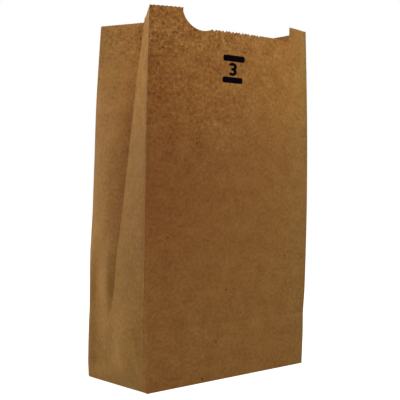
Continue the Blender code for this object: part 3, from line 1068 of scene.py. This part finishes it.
def numeral_mark(name, left, right, low, high, upright_stroke, level_stroke):
    """A plain bold figure three: two bowls that meet in a waist, with a short bar to the left."""
    wide, tall = right - left, high - low
    upper, upper_radii = (0.50 * wide, 0.70 * tall), (0.50 * wide, 0.30 * tall)
    lower, lower_radii = (0.50 * wide, 0.305 * tall), (0.50 * wide, 0.305 * tall)
    upper_hole = (upper_radii[0] - upright_stroke, upper_radii[1] - level_stroke)
    lower_hole = (lower_radii[0] - upright_stroke, lower_radii[1] - level_stroke)
    meeting = math.degrees(math.asin((upper[1] - lower[1]) / (upper_radii[1] + lower_radii[1])))
    free_end = 155.0
    bar_end = 0.34 * wide
    bar_top, bar_foot = upper[1] - upper_hole[1], lower[1] + lower_hole[1]
    above = [arc(upper, radii, free_end, -meeting, 12) for radii in (upper_hole, upper_radii)]
    below = [arc(lower, radii, meeting, -free_end, 14) for radii in (lower_hole, lower_radii)]
    notch = below[1][0] = above[1][-1]
    waist = arc(upper, upper_hole, -meeting, -90.0, 5)
    waist += [(bar_end, bar_top), (bar_end, bar_foot)]
    waist += arc(lower, lower_hole, 90.0, meeting, 5)
    known = {}

    def number(point):
        """The number of a point, which is noted when it is new."""
        return known.setdefault((round(point[0], 7), round(point[1], 7)), len(known))

    faces = [tuple(number(corner) for corner in corners) for inner, outer in (above, below)
             for corners in zip(inner, inner[1:], outer[1:], outer)]
    faces += [(number(first), number(second), number(notch)) for first, second in zip(waist, waist[1:])]
    return sheet_mesh(name, [(left + x, low + y, 0.0) for x, y in known], faces)


# Putting it up.  Each mark's box is its left, right, low and high edge on the flat sheet.
numeral_box = (50.1 * MM, 56.2 * MM, 181.1 * MM, 188.8 * MM)
upper_bar_box = (46.2 * MM, 61.6 * MM, 189.5 * MM, 193.1 * MM)
lower_bar_box = (46.3 * MM, 60.7 * MM, 176.9 * MM, 180.4 * MM)
numeral_strokes = (2.2 * MM, 1.65 * MM)
ink_thickness = 0.02 * MM
ink_lift = 0.06 * MM

fold_tree = folding_tree()
kraft = kraft_paper()
ink = black_ink()


def printed(name, flat_mesh):
    return folded(name, flat_mesh, fold_tree, ink, ink_thickness, ink_lift)


bag = folded("kraft_bag", flat_sheet(), fold_tree, kraft, paper_thickness)
numeral = printed("printed_three", numeral_mark("flat_three", *numeral_box, *numeral_strokes))
bar_above = printed("printed_bar_above", bar_mark("flat_bar_above", *upper_bar_box))
bar_below = printed("printed_bar_below", bar_mark("flat_bar_below", *lower_bar_box))

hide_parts("paper_bag")
for piece in (bag, numeral, bar_above, bar_below):
    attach(piece, "root")


# Floor, air, lamps and camera.

floor_radius = 3.0
floor_drop = 0.1 * MM
floor_grey = (0.45, 0.45, 0.45, 1.0)
white = (1.0, 1.0, 1.0, 1.0)
floor_glow = 0.85
air_light = 0.45
lamp_target = Vector((0.0, 0.0, 0.10))
lamp_size = 0.40
lamps = {
    "lamp_right_front": ((0.246, -0.426, 0.444), 2.36),
    "lamp_front_left": ((-0.103, -0.282, 0.620), 1.18),
    "lamp_left_back": ((-0.432, 0.362, 0.305), 3.48),
}
camera_place = (-0.2684, -0.3833, 0.1101)
camera_tilt = 90.0 - 0.34
camera_turn = -34.97
lens_length = 65.74
sensor_width = 36.0


def seen_directly(tree):
    """1 on rays from the camera, gloss and glass, 0 on the rays that light the bag."""
    path = added(tree, "ShaderNodeLightPath")
    camera, gloss, glass = (Wire(path.outputs[f"Is {kind} Ray"])
                            for kind in ("Camera", "Glossy", "Transmission"))
    return camera.most(gloss).most(glass)


def studio_floor():
    """A wide white floor that keeps the bag's shadow."""
    rim = arc((0.0, 0.0), (floor_radius, floor_radius), 0.0, 354.0, 59)
    mesh = bpy.data.meshes.new("studio_floor")
    mesh.from_pydata([(x, y, -floor_drop) for x, y in rim], [], [tuple(range(len(rim)))])
    material, tree, shader = new_finish("white_paper_floor")
    tree.nodes.remove(shader)
    paper = added(tree, "ShaderNodeBsdfDiffuse", floor_grey)
    glow = added(tree, "ShaderNodeEmission", white, seen_directly(tree) * floor_glow)
    both = added(tree, "ShaderNodeAddShader", Wire(paper.outputs[0]), Wire(glow.outputs[0]))
    feed(tree.nodes["Material Output"].inputs["Surface"], Wire(both.outputs[0]))
    mesh.materials.append(material)
    placed("studio_floor", mesh)


def surroundings():
    """White all round, but lighting the bag only softly."""
    world = bpy.data.worlds.new("studio_air")
    bpy.context.scene.world = world
    world.use_nodes = True
    tree = world.node_tree
    back = tree.nodes["Background"]
    back.inputs["Color"].default_value = white
    feed(back.inputs["Strength"], seen_directly(tree) * (1.0 - air_light) + air_light)


def soft_lamp(name, place, power):
    """A round lamp that faces the bag."""
    light = bpy.data.lights.new(name, "AREA")
    light.shape = "DISK"
    light.size = lamp_size
    light.energy = power
    item = placed(name, light)
    item.location = place
    item.visible_camera = False
    item.rotation_mode = "QUATERNION"
    item.rotation_quaternion = (Vector(place) - lamp_target).to_track_quat("Z", "Y")


def photo_camera():
    """The camera that sees the bag as the photo does."""
    data = bpy.data.cameras.new("photo_camera")
    data.lens = lens_length
    data.sensor_width = sensor_width
    data.clip_start = 0.01
    data.clip_end = 20.0
    camera = placed("photo_camera", data)
    camera.location = camera_place
    camera.rotation_euler = (math.radians(camera_tilt), 0.0, math.radians(camera_turn))
    bpy.context.scene.camera = camera


studio_floor()
surroundings()
for lamp, (lamp_place, lamp_power) in lamps.items():
    soft_lamp(lamp, lamp_place, lamp_power)
photo_camera()
bpy.context.scene.view_settings.view_transform = "Standard"
